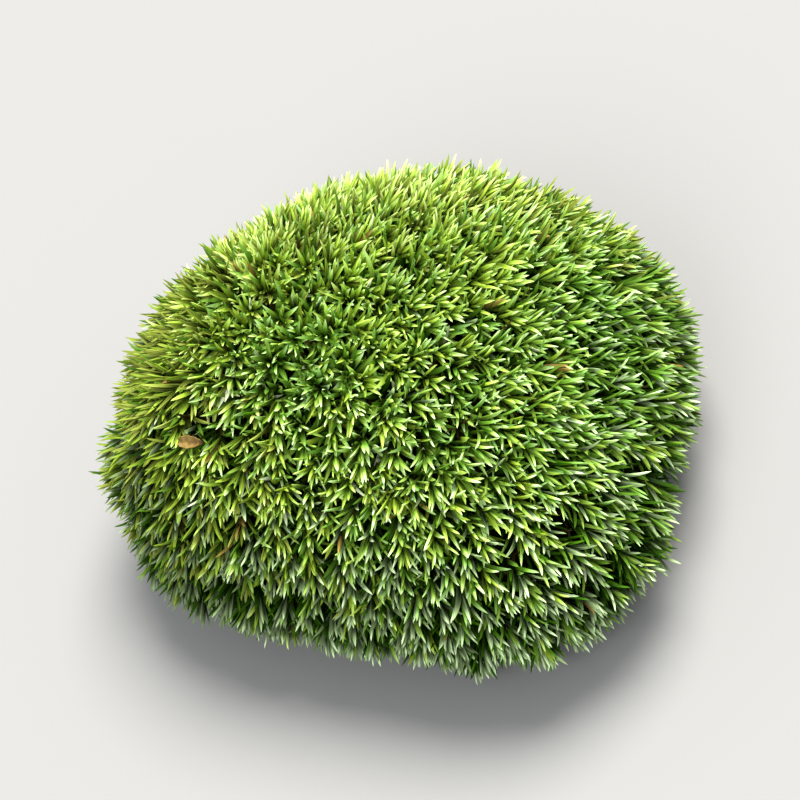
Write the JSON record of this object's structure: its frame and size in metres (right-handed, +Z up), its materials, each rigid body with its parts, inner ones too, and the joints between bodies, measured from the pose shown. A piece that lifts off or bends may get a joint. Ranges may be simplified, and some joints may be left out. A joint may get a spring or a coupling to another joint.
{
  "type": "moss clump",
  "caption": "Domed cushion of dense green moss with short pointed shoots, a rolled-under rim and a flat cut underside; stands on its cut.",
  "frame": {"origin": "on the plane of the flat cut, under the middle of the cushion's box", "axes": "+Z up, away from the cut; -Y faces the side that the picture shows; +X to the right in that view"},
  "size_m": [0.0828, 0.081, 0.044],
  "materials": {
    "moss": "matt living moss: crowded narrow leaves, yellow-green at the tips, deep green between them, brown at the cut",
    "dry_bract": "dry orange-brown bud scale, papery and slightly glossy"
  },
  "bodies": {
    "root": {"moss_cushion": "moss", "dry_flake": "dry_bract"}
  },
  "joints": []
}
